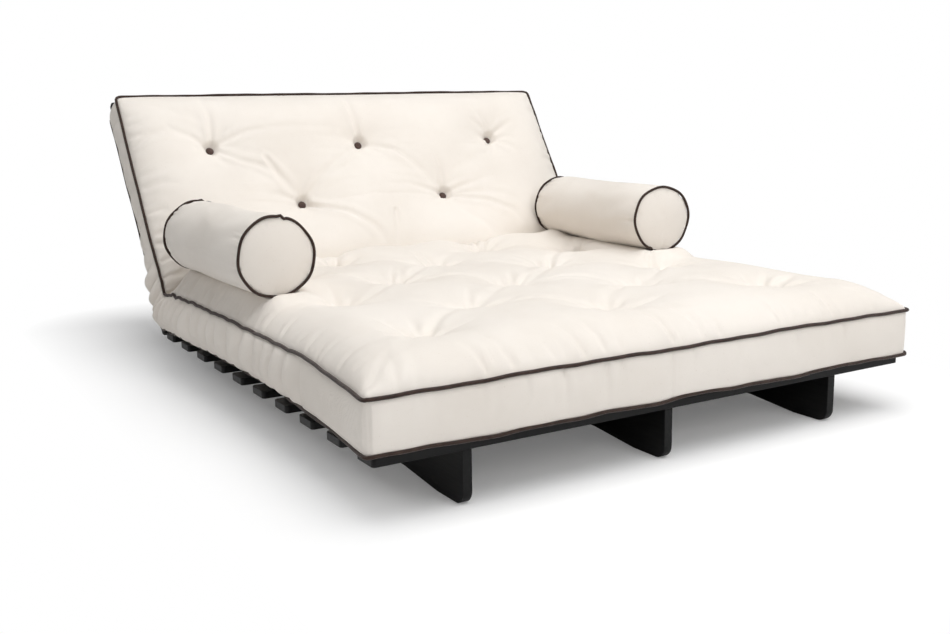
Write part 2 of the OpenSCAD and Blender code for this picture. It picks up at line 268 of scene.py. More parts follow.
WOOD_EDGE = 0.0016   # how far the edges of slats and boards are rounded
FITTINGS = ("arm", "bolts", "washers", "nuts", "screws")


def finish_node(name, material, edge=0.0):
    """Gives a CAD node its material, and rounds its sharp edges by edge metres."""
    node = frame["nodes"][name]
    node.data.materials.clear()
    node.data.materials.append(material)
    if edge:
        weld = node.modifiers.new("weld", "WELD")
        weld.merge_threshold = 1e-5
        bevel = node.modifiers.new("edge", "BEVEL")
        bevel.width, bevel.segments = edge, 3
        bevel.limit_method, bevel.angle_limit = "ANGLE", math.radians(50)
        bevel.use_clamp_overlap = False
        bevel.harden_normals = True


for node_name in frame["nodes"]:
    if "_slat_0" in node_name or "_slat_1" in node_name:
        finish_node(node_name, WOOD_X, WOOD_EDGE)
    elif "runner" in node_name or "back_board" in node_name:
        finish_node(node_name, WOOD_Y, WOOD_EDGE)
    elif node_name == "hinge_bushes":
        finish_node(node_name, NYLON)
    elif any(word in node_name for word in FITTINGS):
        finish_node(node_name, ZINC)


# ---- where the bolsters lie ----

TRIM = 0.003    # how much smaller and lower a bolster is than its CAD cylinder: it sinks into the seat


def bolster_frame(node):
    """Middle, long axis, length and radius of a bolster, from its CAD cylinder."""
    obj = frame["nodes"][node]
    world = np.array(obj.matrix_world)
    co = coords(obj) @ world[:3, :3].T + world[:3, 3]
    mid = co.mean(0)
    size, axes = np.linalg.eigh(np.cov((co - mid).T))
    axis = axes[:, size.argmax()]
    axis = axis * np.sign(axis[1])
    t = (co - mid) @ axis
    radius = np.linalg.norm(co - mid - t[:, None] * axis, axis=1).max()
    mid = mid + axis * (t.max() + t.min()) / 2
    return mid - np.array([0, 0, TRIM]), axis, t.max() - t.min(), radius - TRIM


BOLSTERS = {name: bolster_frame(name) for name in ("bolster_left", "bolster_right")}


# ---- the futon ----

FAN = 0.10          # length of the underside, each way from the fold, over which the futon bends
CORNER = 0.05       # the same for the underside itself
SEAT_CROWN = 0.072  # how far the filling stands above the upper piping, on the seat and on the back
BACK_CROWN = 0.052
SHOULDER = 0.15     # width over which the crown rises from the piping
SEAT_SWELL = 0.046  # how much more the filling stands up beside the fold, on the seat and on the back
BACK_SWELL = 0.012
CREASE = 0.078      # thickness left at the bottom of the fold's crease
PLAN_R = 0.016      # radius of the futon's corners, seen from above
CORD_R = 0.004      # radius of the piping
CORD_OUT = 0.0022   # how far the piping's middle stands outside the futon's edge
RIM_LIFT = 0.004    # height of the lower seam over the slats
GRID = 0.0122       # spacing of the futon's grid before it is made denser
LAYERS = 9          # cells of that grid up the boxing
SLACK = (1.06, 1.05, 1.03)   # how much more cloth than its outline: across, along and up the boxing
TUFT_HELD = 0.0105  # radius that each tuft's stitch holds down
TUFT_R = 0.050      # how far a tuft pulls the filling down around it
BUTTON_BED = 0.024  # radius of the flattened bed round each button
# The sides draw in between the front corners and the fold: q, then how far at the upper and lower seam.
WAIST_Q = (0.0, 0.17, 0.34, 0.60, 0.80, 1.00, 1.15, 1.33, 1.55, 2.02)
WAIST_UPPER = (0.0, 0.013, 0.028, 0.030, 0.026, 0.022, 0.020, 0.016, 0.009, 0.004)
WAIST_LOWER = (0.0, 0.017, 0.027, 0.038, 0.034, 0.028, 0.018, 0.012, 0.016, 0.006)
JOIN_Q = (0.351, 1.625)    # where the boxing's strips are joined along the sides
JOIN_X = (-0.020,)         # and across the front and the top end
TUFT_X = ((-0.473, 0.0, 0.473), (-0.238, 0.240))
SEAT_ROWS = (0.215, 0.411, 0.607, 0.803, 0.999, 1.165)   # from the front slat's edge
BACK_ROWS = (0.298, 0.493)                               # from the fold, along the back
OVER = FRONT_Y - seat_lo.y
SEAT_TUFTS = [(x, y + OVER, 0.108) for i, y in enumerate(SEAT_ROWS) for x in TUFT_X[i % 2]]
FOLD_TUFTS = [(x, SEAT_L, 0.060) for x in TUFT_X[0]]
BACK_TUFTS = [(x, SEAT_L + s, 0.112) for i, s in enumerate(BACK_ROWS) for x in TUFT_X[1 - i]]
TUFTS = SEAT_TUFTS + FOLD_TUFTS + BACK_TUFTS

# The back's long folds: depth, then points as (across, distance from the fold along the back).
# The points were picked on the photo, and a scratch program turned them into metres.
BACK_FOLDS = (
    (0.0065, (-0.471, 0.493), (-0.463, 0.589), (-0.475, 0.668)),
    (0.0055, (-0.456, 0.480), (-0.403, 0.440), (-0.313, 0.396), (-0.262, 0.320)),
    (0.0060, (-0.332, 0.442), (-0.296, 0.378), (-0.245, 0.305)),
    (0.0040, (-0.465, 0.499), (-0.370, 0.530), (-0.265, 0.540), (-0.081, 0.540)),
    (0.0050, (-0.480, 0.494), (-0.540, 0.530), (-0.600, 0.545)),
    (0.0075, (0.000, 0.500), (-0.006, 0.577), (-0.018, 0.668)),
    (0.0055, (0.010, 0.487), (0.097, 0.452), (0.160, 0.388), (0.228, 0.305)),
    (0.0030, (-0.010, 0.484), (-0.131, 0.404), (-0.228, 0.310)),
    (0.0050, (-0.246, 0.300), (-0.310, 0.318), (-0.430, 0.325)),
    (0.0080, (-0.228, 0.290), (-0.122, 0.243), (-0.052, 0.181), (-0.020, 0.120)),
    (0.0070, (0.030, 0.231), (0.022, 0.186), (-0.001, 0.110)),
    (0.0065, (0.236, 0.305), (0.239, 0.372), (0.222, 0.459)),
    (0.0050, (0.245, 0.302), (0.331, 0.318), (0.438, 0.336)),
    (0.0045, (0.228, 0.300), (0.115, 0.325), (0.024, 0.325)),
    (0.0070, (0.243, 0.290), (0.357, 0.249), (0.441, 0.200), (0.470, 0.150)),
    (0.0040, (0.250, 0.295), (0.402, 0.270), (0.490, 0.230)),
    (0.0040, (0.471, 0.500), (0.463, 0.552), (0.420, 0.620)),
    (0.0045, (0.475, 0.499), (0.527, 0.525), (0.585, 0.560)),
    (0.0040, (0.478, 0.487), (0.517, 0.462), (0.560, 0.420)),
    (0.0040, (-0.700, 0.508), (-0.641, 0.535), (-0.575, 0.545)),
    (0.0035, (-0.700, 0.371), (-0.648, 0.377), (-0.590, 0.360)),
)

# Small tucks in the front boxing: x, depth, and how far down they run.
TUCKS = ((-0.600, 0.0015, 0.5), (-0.470, 0.0020, 0.6), (-0.375, 0.0030, 0.5), (-0.290, 0.0045, 0.9),
         (-0.190, 0.0045, 0.95), (-0.150, 0.0030, 0.5), (0.035, 0.0030, 0.7), (0.160, 0.0025, 0.6),
         (0.330, 0.0025, 0.5), (0.480, 0.0030, 0.7), (0.610, 0.0020, 0.5))
# Pleats where the seat's top is sewn to its front edge: depth, x at the seam, x and y of the other end.
# Some of these places were found in the same way as those of the back's folds.
FRONT_PLEATS = (
    (0.0060, -0.455, -0.478, 0.075), (0.0040, -0.395, -0.425, 0.100), (0.0035, -0.300, -0.322, 0.060),
    (0.0065, -0.232, -0.262, 0.085), (0.0060, -0.180, -0.208, 0.120), (0.0065, -0.010, -0.036, 0.120),
    (0.0055, 0.072, 0.040, 0.140), (0.0040, 0.118, 0.090, 0.080), (0.0040, 0.300, 0.285, 0.085),
    (0.0050, 0.455, 0.440, 0.110), (0.0045, 0.590, 0.560, 0.080), (0.0030, -0.640, -0.628, 0.080),
)


def lean_at(q, reach):
    """The futon's slope at q along its underside, from 0 on the seat to the back's lean."""
    return LEAN * smooth((q - SEAT_L + reach) / (2 * reach))


def trace_under():
    """Samples of q, y and z along the underside, ending exactly on the back's slats."""
    q = np.linspace(-0.05, FUTON_L + 0.05, 4401)
    slope = lean_at((q[1:] + q[:-1]) / 2, CORNER)
    y = np.concatenate([[0], np.cumsum(np.cos(slope) * np.diff(q))])
    z = np.concatenate([[0], np.cumsum(np.sin(slope) * np.diff(q))])
    y, z = y - np.interp(0.0, q, y), z - np.interp(0.0, q, z)
    past = smooth((q - SEAT_L + CORNER) / (2 * CORNER))
    y += past * (SEAT_L + BACK_L * math.cos(LEAN) - np.interp(FUTON_L, q, y))
    z += past * (BACK_L * math.sin(LEAN) - np.interp(FUTON_L, q, z))
    return q, seat_lo.y + y, SEAT_Z + z


UNDER = trace_under()


def futon_point(x, q, h):
    """Points of the futon x across, q along its underside and h thick; the sides bend more gently."""
    lean = lean_at(q, FAN + 0.09 * smooth((np.abs(x) - 0.50) / 0.18))
    y = np.interp(q, UNDER[0], UNDER[1]) - h * np.sin(lean)
    return np.stack([x, y, np.interp(q, UNDER[0], UNDER[2]) + h * np.cos(lean)], -1)


def spaced(total, step, joins=(), fine=(0.005, 0.011, 0.019, 0.029)):
    """Positions from 0 to total, closer together near both ends and beside each join."""
    inner = total - 2 * fine[-1]
    count = max(2, round(inner / step))
    middle = fine[-1] + inner * np.arange(count + 1) / count
    for at in joins:
        middle = np.sort(np.append(middle[np.abs(middle - at) > 0.009], [at - 0.005, at, at + 0.005]))
    return np.concatenate([[0.0], fine[:-1], middle, total - np.array(fine[:-1])[::-1], [total]])


def grid_lines():
    """The grid's positions across and along the futon."""
    return spaced(2 * HALF_W, GRID, [x + HALF_W for x in JOIN_X]), spaced(FUTON_L, GRID, JOIN_Q)


def waist(x, q, c):
    """Draws the sides in, c of the way up from the lower seam to the upper one."""
    upper, lower = np.interp(q, WAIST_Q, WAIST_UPPER), np.interp(q, WAIST_Q, WAIST_LOWER)
    return x - np.sign(x) * (lower + (upper - lower) * c) * smooth((np.abs(x) - 0.50) / (HALF_W - 0.50))


def pleat_line():
    """Where the side boxing is pleated: crowded near the fold, none ahead of the front join."""
    own = np.random.default_rng(31)
    at, q = [JOIN_Q[0]], JOIN_Q[0]
    while q < FUTON_L - 0.05:
        near = math.exp(-((q - SEAT_L + 0.10) / 0.35) ** 2)
        q += own.uniform(0.034, 0.058) + (1 - near) * own.uniform(0.010, 0.050)
        at.append(q)
    return np.array(at)


PLEATS = pleat_line()


def pillows(q, power):
    """Between pleats the boxing swells: 0 at each pleat and up to 1 halfway to the next."""
    n = np.clip(np.searchsorted(PLEATS, q), 1, len(PLEATS) - 1)
    gap = PLEATS[n] - PLEATS[n - 1]
    t = np.clip((q - PLEATS[n - 1]) / gap, 0, 1)
    return np.where(q < PLEATS[0], 0.0, np.sin(math.pi * t) ** power * np.minimum(gap / 0.055, 1.3))


def pleated(q):
    """How strongly the side boxing is gathered at q."""
    near = np.exp(-((q - SEAT_L + 0.12) / 0.42) ** 2)
    back = 1 - 0.62 * smooth((q - SEAT_L - 0.08) / 0.12)
    return (0.48 + 0.52 * near) * smooth((q - JOIN_Q[0]) / 0.05) * back


def box_grid(nu, nv, nb):
    """The (i, j, k) of every vertex on the skin of a box of nu x nv x nb cells, and its quads."""
    i, j, k = np.indices((nu + 1, nv + 1, nb + 1))
    skin = (i == 0) | (i == nu) | (j == 0) | (j == nv) | (k == 0) | (k == nb)
    index = np.full(skin.shape, -1)
    index[skin] = np.arange(skin.sum())
    quads = []
    sheets = ((index[:, :, 0], True), (index[:, :, nb], False), (index[:, 0, :], False),
              (index[:, nv, :], True), (index[0, :, :], True), (index[nu, :, :], False))
    for sheet, flip in sheets:
        a, b, c, d = sheet[:-1, :-1], sheet[1:, :-1], sheet[1:, 1:], sheet[:-1, 1:]
        quads.append(np.stack([a, d, c, b] if flip else [a, b, c, d], -1).reshape(-1, 4))
    return np.stack([i[skin], j[skin], k[skin]], -1), np.concatenate(quads)


def waves(t, seed, lengths, sizes):
    """A smooth repeatable wobble along t: one sine for each wavelength and size."""
    phase = np.random.default_rng(seed).uniform(0, 2 * math.pi, len(lengths))
    return sum(s * np.sin(2 * math.pi * t / w + p) for w, s, p in zip(lengths, sizes, phase))


def rounded_plan(x, q):
    """Pulls the square corners of the futon's outline in to PLAN_R."""
    a = np.clip(np.abs(x) - HALF_W + PLAN_R, 0, None) / PLAN_R
    side = np.where(q < FUTON_L / 2, -1, 1)
    b = np.clip(np.where(side < 0, PLAN_R - q, q - FUTON_L + PLAN_R), 0, None) / PLAN_R
    both = (a > 0) & (b > 0)
    shrink = np.where(both, np.maximum(a, b) / np.maximum(np.hypot(a, b), 1e-9), 1.0)
    x = x - np.sign(x) * a * (1 - shrink) * PLAN_R
    return x, q - side * b * (1 - shrink) * PLAN_R


def upper_height(x, q):
    """The futon's thickness before it is simulated: crowned, dimpled at each tuft, creased at the fold."""
    side = np.clip((HALF_W - np.abs(x)) / SHOULDER, 0, 1)
    end = np.clip(np.minimum(q, FUTON_L - q) / SHOULDER, 0, 1)
    rise = np.sqrt((1 - (1 - side) ** 2.2) * (1 - (1 - end) ** 2.2))
    past = smooth((q - SEAT_L + 0.15) / 0.3)
    h = BOXING + (SEAT_CROWN + (BACK_CROWN - SEAT_CROWN) * past) * rise
    middle = smooth((HALF_W - np.abs(x)) / 0.16)
    h = h + middle * (SEAT_SWELL * np.exp(-((q - SEAT_L + 0.110) / 0.062) ** 2)
                      + BACK_SWELL * np.exp(-((q - SEAT_L - 0.115) / 0.065) ** 2))
    near = np.exp(-np.abs((q - SEAT_L) / 0.054) ** 1.7)
    h = h + (BOXING + (CREASE - BOXING) * middle - h) * near
    for tx, tq, left in TUFTS:
        away = np.hypot(x - tx, q - tq)
        h = np.minimum(h, left + (h - left) * (1 - np.exp(-(away / TUFT_R) ** 0.9)))
    return h


def seam_wander(x, q, upper, along):
    """How far a piping seam strays up or down; it puckers along the sides near the fold."""
    t = np.where(along, q, x + 3.0)
    seed = 5 if upper else 8
    pucker = np.exp(-((q - SEAT_L + 0.06) / 0.13) ** 2) * along
    stray = waves(t, seed, (0.61, 0.23, 0.097), (0.0011, 0.0008, 0.0005))
    if not upper:
        stray = stray + 0.0022 + waves(t, 9, (0.37, 0.19), (0.0017, 0.0011))
    scallop = (pillows(q, 0.8) - 0.4) * pleated(q) * along * (0.0034 if upper else 0.0026)
    raised = 0.006 * along * np.interp(q, (0.0, 0.25, 1.1, 1.5), (0, 1, 1, 0))
    return stray + scallop + raised + pucker * waves(t, seed + 1, (0.083, 0.061), (0.0022, 0.0014))


def futon_shapes():
    """The futon's grid: its start shape, its slack cut, its quads and what each vertex is."""
    us, vs = grid_lines()
    nu, nv, nb = len(us) - 1, len(vs) - 1, LAYERS
    ijk, quads = box_grid(nu, nv, nb)
    i, j, k = ijk.T
    x, q, c = us[i] - HALF_W, vs[j], k / nb
    top, bottom = k == nb, k == 0
    along = (i == 0) | (i == nu)
    rim = along | (j == 0) | (j == nv)
    held = bottom | (top & rim)
    inner = top & ~rim
    for tx, tq, left in TUFTS:
        away = np.where(inner, np.hypot(x - tx, q - tq), 9.0)
        held |= away < TUFT_HELD
        nearest = away.argmin()
        x[nearest], q[nearest] = tx, tq
        held[nearest] = True
    x, q = rounded_plan(x, q)
    edge = np.minimum(HALF_W - np.abs(x), np.minimum(q, FUTON_L - q))
    h = np.where(inner, upper_height(x, q), BOXING * c)
    h = h + np.where(rim & top, seam_wander(x, q, True, along), 0.0)
    h = h + np.where(rim & bottom, RIM_LIFT + seam_wander(x, q, False, along), 0.0)
    h = h + np.where(bottom & ~rim, RIM_LIFT * np.exp(-edge / 0.012), 0.0)
    drawn = waist(x, q, c)
    cut = np.stack([drawn * SLACK[0], q * SLACK[1], BOXING * c * SLACK[2]], -1)
    kind = {"loose": rim | ~bottom, "held": held, "place": np.stack([x, q, c], -1)}
    return futon_point(drawn, q, h), cut, quads, kind


PRESSURE = 9.0     # of the filling on the cloth
FRAMES = 22        # steps of the simulation
TRAVEL = 0.045     # the most that a point of the cloth may move


def inflate(start, cut, quads, held):
    """Swells a fabric skin by cloth simulation; cut gives the lengths the fabric was sewn to."""
    skin = mesh_object("sim", start, quads)
    skin.shape_key_add(name="start")
    key = skin.shape_key_add(name="cut")
    key.data.foreach_set("co", np.asarray(cut, np.float32).ravel())
    key.value = 0.0
    group = skin.vertex_groups.new(name="held")
    group.add([int(v) for v in np.flatnonzero(held)], 1.0, "REPLACE")
    cloth = skin.modifiers.new("cloth", "CLOTH")
    s = cloth.settings
    s.vertex_group_mass = "held"
    s.rest_shape_key = key
    s.quality = 5
    s.mass = 0.15
    s.tension_stiffness, s.compression_stiffness = 30, 30
    s.shear_stiffness, s.bending_stiffness = 8, 0.06
    s.tension_damping = s.compression_damping = s.shear_damping = 8
    s.air_damping = 3
    s.use_pressure = True
    s.uniform_pressure_force = PRESSURE
    s.effector_weights.gravity = 0
    cloth.collision_settings.use_collision = False
    scene = bpy.context.scene
    cloth.point_cache.frame_start, cloth.point_cache.frame_end = 1, FRAMES
    for f in range(1, FRAMES + 1):
        scene.frame_set(f)
    shaped = skin.evaluated_get(bpy.context.evaluated_depsgraph_get())
    co = coords(shaped)
    scene.frame_set(1)
    bpy.data.objects.remove(skin)
    step = co - start
    size = np.linalg.norm(step, axis=1, keepdims=True)
    return start + step * np.minimum(1.0, TRAVEL / np.maximum(size, 1e-9))


def denser(points, quads, kind):
    """The mesh's vertices after one round of subdivision, smoothed or straight."""
    obj = mesh_object("dense", points, quads)
    mod = obj.modifiers.new("dense", "SUBSURF")
    mod.levels = mod.render_levels = 1
    mod.subdivision_type = kind
    mesh = bpy.data.meshes.new_from_object(obj.evaluated_get(bpy.context.evaluated_depsgraph_get()))
    bpy.data.objects.remove(obj)
    co = np.empty(len(mesh.vertices) * 3, np.float32)
    mesh.vertices.foreach_get("co", co)
    faces = np.empty(len(mesh.polygons) * 4, np.int32)
    mesh.polygons.foreach_get("vertices", faces)
    return co.reshape(-1, 3).astype(float), faces.reshape(-1, 4)


def normals(co, quads):
    """Unit vertex normals of a quad mesh."""
    a, b, c, d = (co[quads[:, n]] for n in range(4))
    face = np.cross(c - a, d - b)
    total = np.zeros_like(co)
    for n in range(4):
        np.add.at(total, quads[:, n], face)
    return total / np.maximum(np.linalg.norm(total, axis=1, keepdims=True), 1e-12)


def fold_lines():
    """Every crease on the upper face: (depth, width, points)."""
    lines = [(1.15 * d, 0.0070, [(x, SEAT_L + s) for x, s in pts]) for d, *pts in BACK_FOLDS]
    for n, (tx, tq, _) in enumerate(SEAT_TUFTS + BACK_TUFTS):
        on_seat = n < len(SEAT_TUFTS)
        spokes = 10 if on_seat else 6
        for m in range(spokes):
            turn = 2 * math.pi * (m + rng.uniform(-0.32, 0.32)) / spokes
            long = rng.uniform(0.07, 0.18) if on_seat else rng.uniform(0.04, 0.10)
            bow = rng.uniform(-0.5, 0.5)
            pts = [(tx + r * math.cos(turn + bow * (r / long)), tq + r * math.sin(turn + bow * (r / long)))
                   for r in np.linspace(0.010, long, 5)]
            depth = rng.uniform(0.0045, 0.0100) if on_seat else rng.uniform(0.002, 0.005)
            lines.append((depth, rng.uniform(0.0055, 0.0090), pts))
    for ax, aq, _ in SEAT_TUFTS:
        for bx, bq, _ in SEAT_TUFTS:
            gap = math.hypot(bx - ax, bq - aq)
            if bq > aq + 0.05 and gap < 0.36:
                bow = rng.uniform(-0.045, 0.045)
                across = ((aq - bq) / gap, (bx - ax) / gap)
                reach = rng.uniform(0.60, 0.95)
                pts = [(ax + (bx - ax) * t + across[0] * bow * math.sin(math.pi * t),
                        aq + (bq - aq) * t + across[1] * bow * math.sin(math.pi * t))
                       for t in np.linspace(0.05, reach, 7)]
                lines.append((rng.uniform(0.005, 0.010), 0.0095, pts if rng.random() < 0.5 else pts[::-1]))
    for depth, x, far_x, far_q in FRONT_PLEATS:
        lines.append((depth, 0.0070, [(x, 0.003), ((x + far_x) / 2 + 0.004, far_q / 2), (far_x, far_q)]))
    for x in np.arange(-0.66, 0.67, 0.052):
        at = x + rng.uniform(-0.02, 0.02)
        long = rng.uniform(0.03, 0.10)
        pts = [(at, 0.004), (at + rng.uniform(-0.03, 0.03), long)]
        lines.append((0.0025 * rng.random(), 0.0070, pts))
    for q in np.arange(0.04, FUTON_L - 0.03, 0.048):
        for side in (-1, 1):
            at = q + rng.uniform(-0.018, 0.018)
            long = rng.uniform(0.03, 0.09)
            pts = [(side * (HALF_W - 0.004), at), (side * (HALF_W - long), at + rng.uniform(-0.02, 0.02))]
            more = 1 + 1.8 * math.exp(-((q - SEAT_L + 0.12) / 0.40) ** 2)
            lines.append((more * rng.uniform(0.001, 0.004), 0.0075, pts))
    own = np.random.default_rng(53)
    for side in (-1, 1):
        lines.append((0.016, 0.012, [(0.0, SEAT_L), (side * 0.35, SEAT_L + 0.004), (side * 1.2, SEAT_L)]))
    for x in np.arange(-0.62, 0.63, 0.055):
        at = x + own.uniform(-0.02, 0.02)
        for side, far in ((-1, own.uniform(0.05, 0.12)), (1, own.uniform(0.03, 0.09))):
            pts = [(at, SEAT_L + side * 0.006), (at + own.uniform(-0.04, 0.04), SEAT_L + side * far)]
            lines.append((own.uniform(0.002, 0.0065), 0.0075, pts))
    return lines


def valleys(x, q, lines):
    """Depth, at each (x, q), of all the creases: sharp at the bottom, with full shoulders."""
    total = np.zeros(len(x))
    for depth, width, pts in lines:
        pts = np.array(pts)
        lo, hi = pts.min(0) - 5 * width, pts.max(0) + 5 * width
        near = np.flatnonzero((x > lo[0]) & (x < hi[0]) & (q > lo[1]) & (q < hi[1]))
        if not len(near):
            continue
        p = np.stack([x[near], q[near]], -1)
        best = np.full(len(near), 9.0)
        along = np.zeros(len(near))
        steps = len(pts) - 1
        for n in range(steps):
            leg = pts[n + 1] - pts[n]
            t = np.clip(((p - pts[n]) @ leg) / (leg @ leg), 0, 1)
            away = np.linalg.norm(p - pts[n] - t[:, None] * leg, axis=1)
            closer = away < best
            best = np.where(closer, away, best)
            along = np.where(closer, (n + t) / steps, along)
        wide = width * (0.8 + 0.8 * along)
        fade = (1 - along) ** 0.7 * smooth(along / 0.06 + 0.5)
        profile = np.exp(-(best / wide) ** 1.35) - 0.42 * np.exp(-((best - 2.1 * wide) / (1.3 * wide)) ** 2)
        total[near] += depth * fade * profile
    return total


def side_gathers(x, q, c, along):
    """How far the boxing stands out: pleated and pillowed along the sides, nearly smooth at the ends."""
    t = np.where(along, q + np.where(x > 0, 4.0, 0.0), x + 7.0)
    skew = q + 0.010 * np.sin(2.5 * c + 9 * q) + 0.004 * np.sin(31 * q + 5 * c)
    swell = np.where(along, 0.0300 * pillows(skew, 0.62) * pleated(q), 0.0)
    broad = waves(t + 0.02 * np.sin(7 * c), 21, (0.43, 0.233, 0.137), (0.0014, 0.0010, 0.0006))
    fine = waves(t + 0.006 * c, 22, (0.061, 0.043, 0.031), (0.0004, 0.0003, 0.0002)) * np.clip(c, 0, 1)
    belly = 0.0045
    swell = swell * (0.25 + 0.75 * smooth(c / 0.55))
    out = (swell + broad + fine + belly) * np.sin(math.pi * np.clip(c, 0, 1)) ** 0.5
    for at in JOIN_Q:
        out -= along * 0.0030 * np.exp(-((q - at) / 0.0035) ** 2)
    for at, depth, reach in TUCKS:
        line = (x - at - 0.008 * (1 - c) * np.sin(60 * at)) / 0.0070
        tuck = np.exp(-line ** 2) - 0.4 * np.exp(-(line - 1.8) ** 2)
        out -= ~along * depth * tuck * smooth((c + reach - 1) / reach)
    for at in JOIN_X:
        out -= ~along * 0.0022 * np.exp(-((x - at) / 0.0035) ** 2)
    return out


def over_bolster(co, name):
    """Distance of each point along a bolster and across it, with the height of the bolster's axis there."""
    mid, axis, _, _ = BOLSTERS[name]
    across = np.cross(axis, (0, 0, 1))
    across /= np.linalg.norm(across)
    t = (co - mid) @ axis
    return t, np.abs((co - mid) @ across), mid[2] + t * axis[2]


def raise_seat(co, seat, edge):
    """Raises the seat round each bolster to meet it, fading out at the futon's edge."""
    for name, (_, _, length, radius) in BOLSTERS.items():
        t, d, axis_z = over_bolster(co, name)
        share = smooth((0.135 - d) / 0.085) * smooth((length / 2 + 0.055 - np.abs(t)) / 0.05)
        share = seat * share * smooth((edge - 0.004) / 0.075)
        co[:, 2] += share * np.maximum(axis_z - radius + 0.0080 - co[:, 2], 0)


def clear_bolsters(co, seat):
    """Presses the seat down to just below each bolster."""
    for name, (_, _, length, radius) in BOLSTERS.items():
        t, d, axis_z = over_bolster(co, name)
        gap = 0.0018 + 0.0024 * smooth((np.abs(t) - length / 2 + 0.03) / 0.02)
        below = axis_z - np.sqrt(np.maximum(radius ** 2 - d ** 2, 0)) - gap
        under = seat & (d < radius * 0.8) & (np.abs(t) < length / 2 + 0.006)
        co[:, 2] = np.where(under, np.minimum(co[:, 2], below), co[:, 2])


def make_futon():
    """The futon's cover as one mesh: simulated, made denser, creased, gathered and buttoned down."""
    start, cut, quads, kind = futon_shapes()
    co = start.copy()
    loose = kind["loose"]
    part = quads[loose[quads].all(1)]
    slot = np.cumsum(loose) - 1
    co[loose] = inflate(start[loose], cut[loose], slot[part], kind["held"][loose])
    co, faces = denser(co, quads, "CATMULL_CLARK")
    x, q, c = denser(kind["place"], quads, "SIMPLE")[0].T
    edge = np.minimum(HALF_W - np.abs(x), np.minimum(q, FUTON_L - q))
    top = c > 0.999
    seat = top & (q < SEAT_L)
    raise_seat(co, seat, edge)
    out = normals(co, faces)
    push = np.zeros(len(co))
    push[top] = -valleys(x[top], q[top], fold_lines()) * smooth(edge[top] / 0.006)
    wall = (edge < 0.001) & (c > 0.001) & (c < 0.999)
    along = HALF_W - np.abs(x) < 0.001
    push[wall] = side_gathers(x, q, c, along)[wall]
    co = co + out * push[:, None]
    clear_bolsters(co, seat)
    for tx, tq, left in TUFTS:
        away = np.hypot(x - tx, q - tq)
        near = np.flatnonzero(top & (away < BUTTON_BED))
        hold = smooth((BUTTON_BED - away[near]) / 0.011)[:, None]
        co[near] += hold * (futon_point(x[near], q[near], left) - co[near])
    return mesh_object("futon_cover", co, faces, [COTTON])


def rim_path(upper):
    """The closed path of a piping seam, going round the futon just outside its edge."""
    us, vs = grid_lines()
    us = us - HALF_W
    x = np.concatenate([us, np.full(len(vs), HALF_W), us[::-1], np.full(len(vs), -HALF_W)])
    q = np.concatenate([np.zeros(len(us)), vs, np.full(len(us), FUTON_L), vs[::-1]])
    keep = np.ones(len(x), bool)
    keep[1:] = np.hypot(np.diff(x), np.diff(q)) > 1e-6
    keep[-1] = False
    x, q = x[keep], q[keep]
    along = np.abs(x) > HALF_W - 1e-6
    h = (BOXING if upper else RIM_LIFT) + seam_wander(x, q, upper, along)
    x, q = rounded_plan(x, q)
    h = h + (0.0010 if upper else 0.0)
    x = waist(x, q, 1.0 if upper else 0.0)
    mid = FUTON_L / 2
    return futon_point(x * (1 + CORD_OUT / HALF_W), mid + (q - mid) * (1 + CORD_OUT / mid), h)


def heading(path):
    """The direction of a closed path at each of its points."""
    return unit(np.roll(path, -1, 0) - np.roll(path, 1, 0))


def tube(path, one, radius, sides=10):
    """A closed tube's vertices and quads round a closed path; one is a direction square to it."""
    two = np.cross(one, heading(path))
    turn = (2 * math.pi * np.arange(sides) / sides)[None, :, None]
    ring = path[:, None] + radius * (np.cos(turn) * one[:, None] + np.sin(turn) * two[:, None])
    a = np.arange(len(path))[:, None] * sides + np.arange(sides)
    b = np.roll(a, -1, 0)
    quads = np.stack([a, b, np.roll(b, -1, 1), np.roll(a, -1, 1)], -1).reshape(-1, 4)
    return ring.reshape(-1, 3), quads


def make_piping(name, upper):
    """The piping cord sewn round the futon's upper or lower edge."""
    path = rim_path(upper)
    up = np.array([0.0, -math.sin(LEAN / 2), math.cos(LEAN / 2)])
    return mesh_object(name, *tube(path, unit(np.cross(heading(path), up)), CORD_R), [PIPING])


def lathe(profile, sides):
    """A closed solid turned about Z: (radius, height) points in order, with both ends on the axis."""
    turn = 2 * math.pi * np.arange(sides) / sides
    verts = [(0, 0, profile[0][1])]
    for r, z in profile[1:-1]:
        verts += [(r * math.cos(a), r * math.sin(a), z) for a in turn]
    verts.append((0, 0, profile[-1][1]))
    faces = [(0, 1 + (m + 1) % sides, 1 + m) for m in range(sides)]
    rings = len(profile) - 2
    for n in range(rings - 1):
        for m in range(sides):
            a, b = 1 + n * sides + m, 1 + n * sides + (m + 1) % sides
            faces.append((a, b, b + sides, a + sides))
    last, end = 1 + (rings - 1) * sides, len(verts) - 1
    faces += [(last + m, last + (m + 1) % sides, end) for m in range(sides)]
    return np.array(verts), faces


